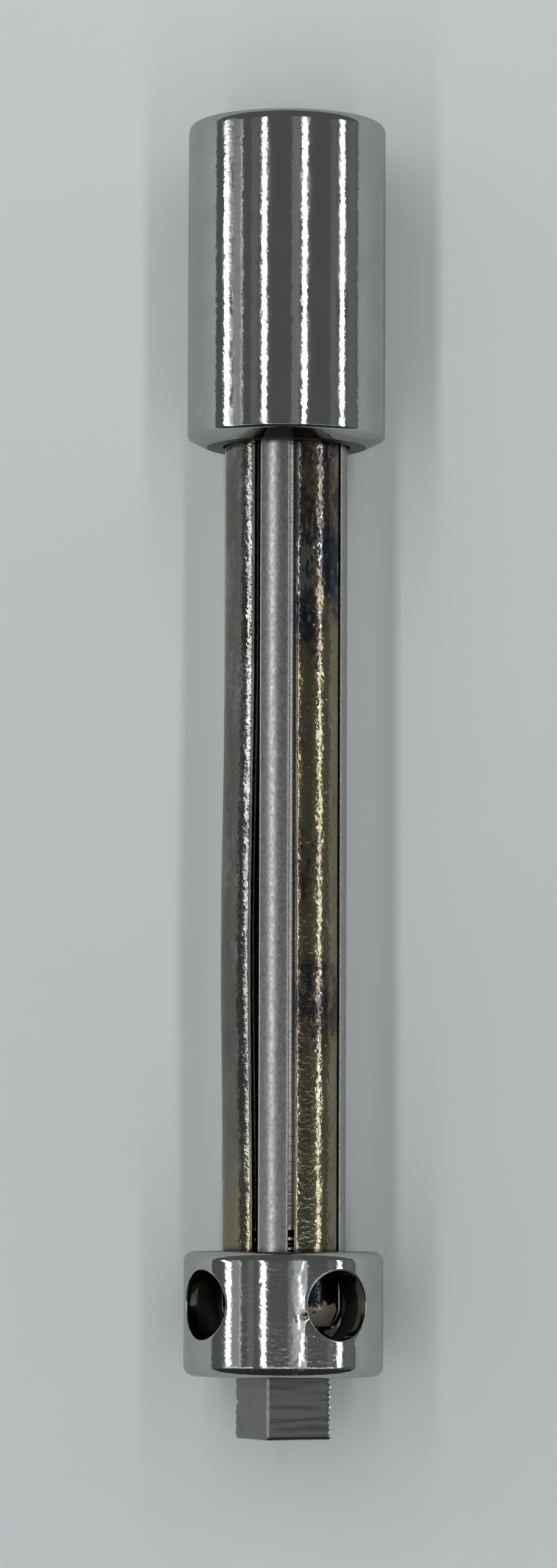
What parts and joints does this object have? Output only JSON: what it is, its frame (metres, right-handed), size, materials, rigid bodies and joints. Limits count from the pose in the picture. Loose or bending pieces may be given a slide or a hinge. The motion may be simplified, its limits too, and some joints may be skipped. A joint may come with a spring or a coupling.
{
  "type": "segmented spindle",
  "caption": "Steel spindle with a plain round head, a slit shaft of wide and narrow staves, a screw collar with tommy-bar holes and a square tang.",
  "frame": {"origin": "centre of the head's flat end face, which the spindle stands on", "axes": "+Z along the spindle's axis, from the head towards the square tang; +X through the hole of the collar that is in line with the bowed wide stave"},
  "size_m": [0.02, 0.02, 0.1328],
  "materials": {
    "polished_steel": "polished",
    "milled_steel": "milled, satin",
    "tempered_steel": "polished with a brown heat tint",
    "satin_steel": "satin"
  },
  "bodies": {
    "spindle": {"head": "polished_steel", "core_rod": "milled_steel"},
    "staves": {"wide_stave_1": "tempered_steel", "wide_stave_2": "tempered_steel", "wide_stave_3": "tempered_steel", "wide_stave_4": "tempered_steel", "narrow_stave_1": "satin_steel", "narrow_stave_2": "satin_steel", "narrow_stave_3": "satin_steel", "narrow_stave_4": "satin_steel"},
    "collar": {"collar": "polished_steel"}
  },
  "joints": [
    {"name": "collar_turn", "type": "hinge", "parent": "spindle", "child": "staves", "pos_m": [0, 0, 0.1201], "axis": [0, 0, 1], "range_deg": [-465, 1615]},
    {"name": "collar_travel", "type": "slide", "parent": "staves", "child": "collar", "axis": [0, 0, 1], "range_m": [-0.0013, 0.0045]}
  ],
  "couplings": [
    {"joint": "collar_travel", "follows": "collar_turn", "m_per_rad": 0.00015915}
  ]
}
